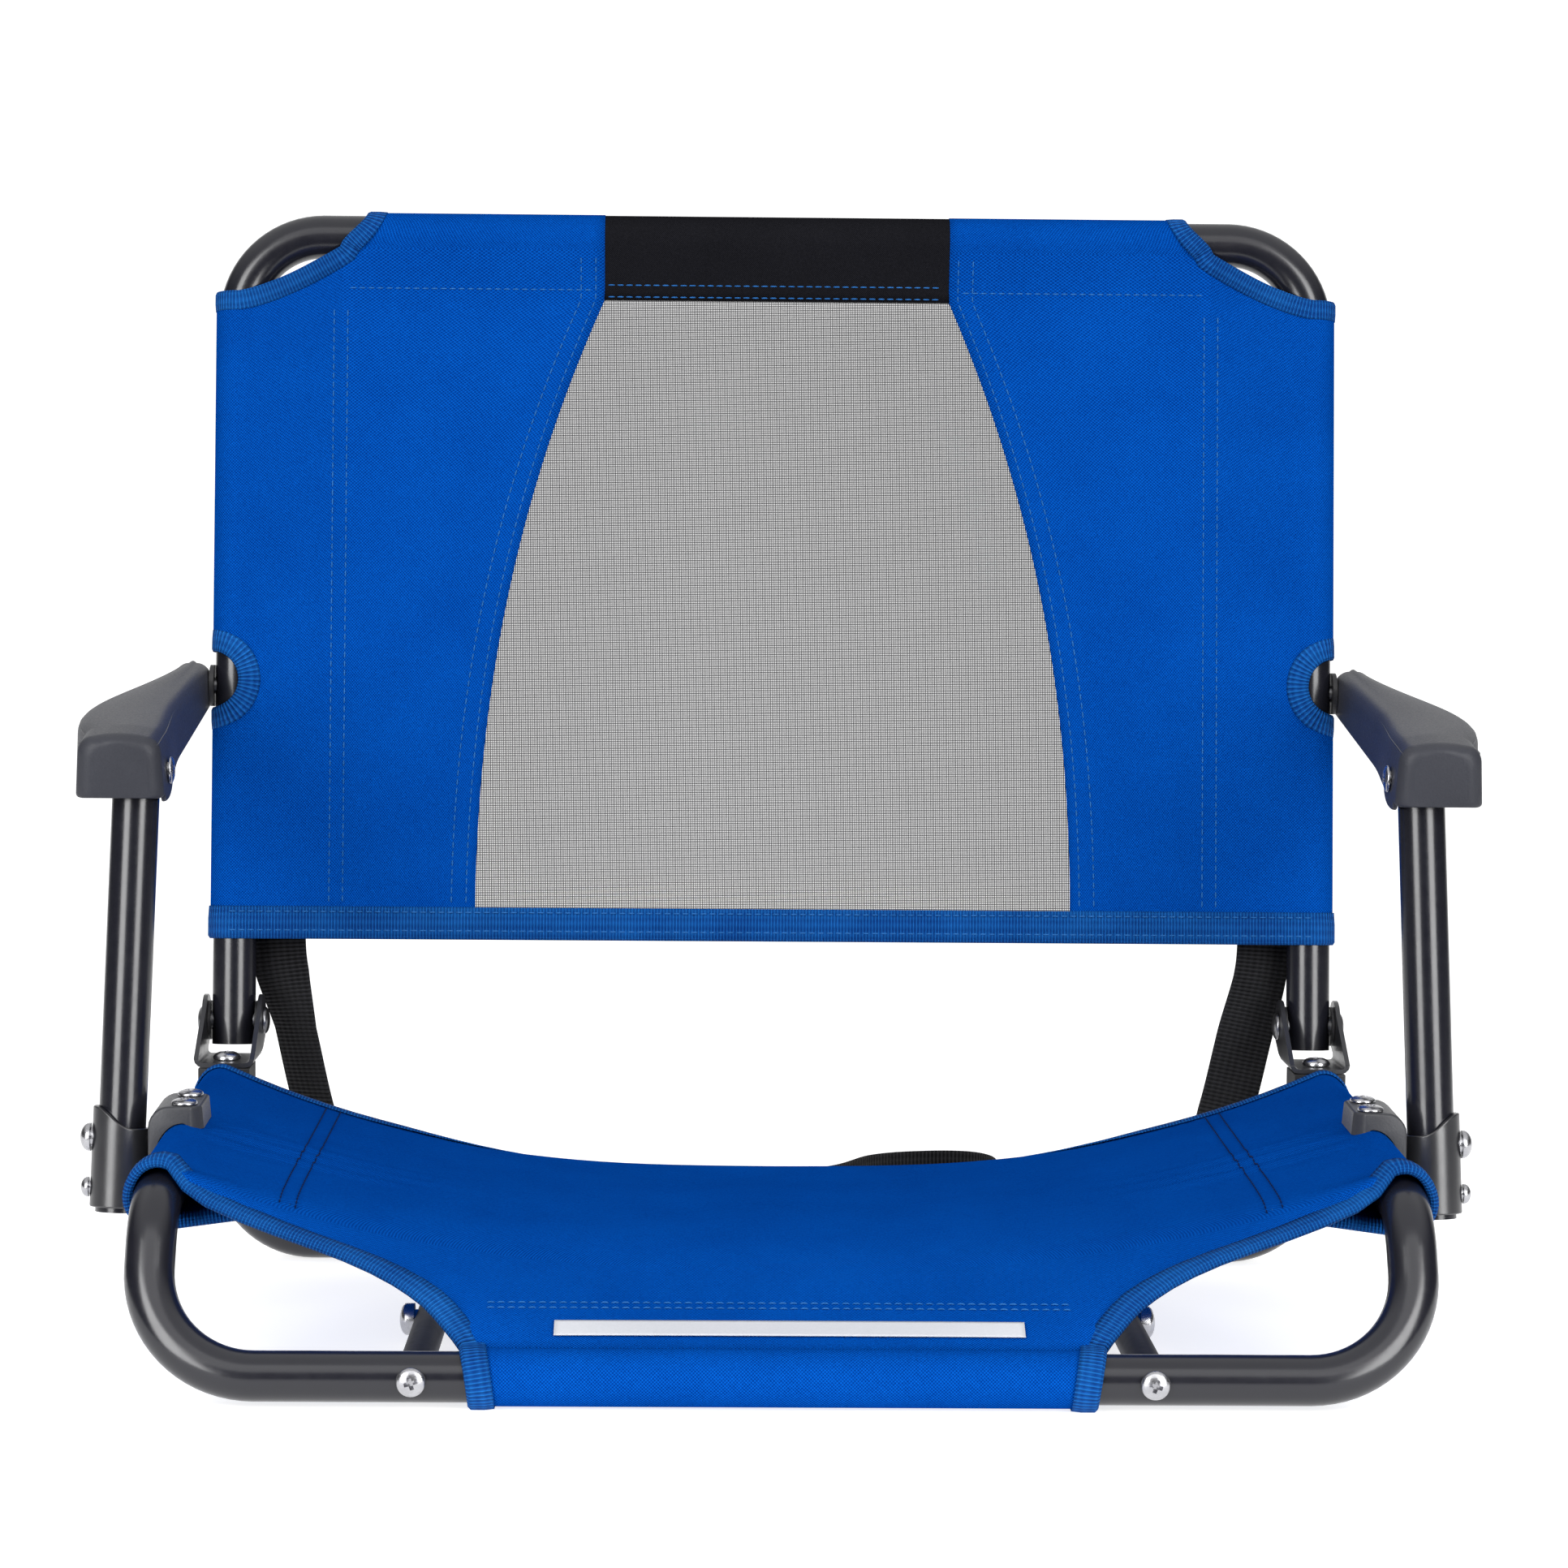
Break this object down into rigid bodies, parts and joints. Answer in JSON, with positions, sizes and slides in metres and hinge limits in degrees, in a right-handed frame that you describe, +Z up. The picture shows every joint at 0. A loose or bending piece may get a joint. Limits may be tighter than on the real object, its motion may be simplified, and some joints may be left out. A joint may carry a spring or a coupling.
{
  "type": "folding bleacher seat",
  "caption": "Low folding stadium seat with a bent tube frame, sewn sling seat, cloth back with a mesh centre, linked armrests, a carry strap and a swing-down bench hook.",
  "frame": {"origin": "on the bench surface under the middle of the seat", "axes": "+X to the right as the picture shows it, -Y the way the sitter faces, +Z up"},
  "size_m": [0.5788, 0.479, 0.4631],
  "materials": {
    "frame_paint": "satin powder coat",
    "bracket_paint": "satin powder coat",
    "zinc": "zinc plated",
    "rivet_steel": "dark plated",
    "arm_plastic": "fine moulded grain",
    "clip_plastic": "fine moulded grain",
    "black_plastic": "smooth",
    "blue_cloth": "woven polyester",
    "mesh_cloth": "open warp-knit mesh",
    "webbing": "woven webbing"
  },
  "bodies": {
    "seat": {"front_seat_tube": "frame_paint", "rear_seat_tube": "frame_paint", "joint_spigot_left": "zinc", "joint_spigot_right": "zinc", "stretcher_left": "frame_paint", "stretcher_right": "frame_paint", "stretcher_saddle_front_left": "black_plastic", "stretcher_saddle_front_right": "black_plastic", "stretcher_saddle_rear_left": "black_plastic", "stretcher_saddle_rear_right": "black_plastic", "stretcher_screw_front_left": "zinc", "stretcher_screw_front_right": "zinc", "stretcher_screw_rear_left": "zinc", "stretcher_screw_rear_right": "zinc", "hook_rod": "zinc", "hook_rod_cap_left": "zinc", "hook_rod_cap_right": "zinc", "seat_sling": "blue_cloth", "hinge_bracket_left": "bracket_paint", "hinge_bracket_right": "bracket_paint", "bracket_packer_left": "black_plastic", "bracket_packer_right": "black_plastic", "bracket_bolt_left": "zinc", "bracket_bolt_right": "zinc", "arm_clip_left": "clip_plastic", "arm_clip_right": "clip_plastic", "clip_screw_front_left": "zinc", "clip_screw_front_right": "zinc", "clip_screw_rear_left": "zinc", "clip_screw_rear_right": "zinc", "hinge_rivet_left": "rivet_steel", "hinge_rivet_right": "rivet_steel", "post_pivot_rivet_left": "zinc", "post_pivot_rivet_right": "zinc", "carry_strap": "webbing"},
    "back": {"back_frame": "frame_paint", "back_panel_left": "blue_cloth", "back_panel_right": "blue_cloth", "back_mesh": "mesh_cloth", "hinge_bush_inner_left": "black_plastic", "hinge_bush_inner_right": "black_plastic", "hinge_bush_outer_left": "black_plastic", "hinge_bush_outer_right": "black_plastic"},
    "arm_left": {"armrest_left": "arm_plastic", "arm_bush_left": "black_plastic", "arm_rear_rivet_left": "rivet_steel", "arm_front_rivet_left": "zinc"},
    "post_left": {"arm_post_left": "frame_paint", "post_shoe_left": "bracket_paint", "shoe_rivet_left": "zinc"},
    "arm_right": {"armrest_right": "arm_plastic", "arm_bush_right": "black_plastic", "arm_rear_rivet_right": "rivet_steel", "arm_front_rivet_right": "zinc"},
    "post_right": {"arm_post_right": "frame_paint", "post_shoe_right": "bracket_paint", "shoe_rivet_right": "zinc"},
    "hook": {"bench_hook": "frame_paint"}
  },
  "joints": [
    {"name": "back_fold", "type": "hinge", "parent": "seat", "child": "back", "pos_m": [0, 0.13882, 0.10549], "axis": [1, 0, 0], "range_deg": [0, 94]},
    {"name": "arm_swing_left", "type": "hinge", "parent": "back", "child": "arm_left", "pos_m": [-0.25, 0.15301, 0.25281], "axis": [1, 0, 0], "range_deg": [-94, 0]},
    {"name": "post_fold_left", "type": "hinge", "parent": "seat", "child": "post_left", "pos_m": [-0.2645, -0.03218, 0.07902], "axis": [1, 0, 0], "range_deg": [0, 94]},
    {"name": "arm_swing_right", "type": "hinge", "parent": "back", "child": "arm_right", "pos_m": [0.25, 0.15301, 0.25281], "axis": [1, 0, 0], "range_deg": [-94, 0]},
    {"name": "post_fold_right", "type": "hinge", "parent": "seat", "child": "post_right", "pos_m": [0.2645, -0.03218, 0.07902], "axis": [1, 0, 0], "range_deg": [0, 94]},
    {"name": "hook_swing", "type": "hinge", "parent": "seat", "child": "hook", "pos_m": [0, -0.05718, 0.01033], "axis": [-1, 0, 0], "range_deg": [0, 90]}
  ],
  "couplings": [
    {"joint": "arm_swing_left", "follows": "back_fold", "ratio": -1},
    {"joint": "post_fold_left", "follows": "back_fold", "ratio": 1},
    {"joint": "arm_swing_right", "follows": "back_fold", "ratio": -1},
    {"joint": "post_fold_right", "follows": "back_fold", "ratio": 1}
  ]
}
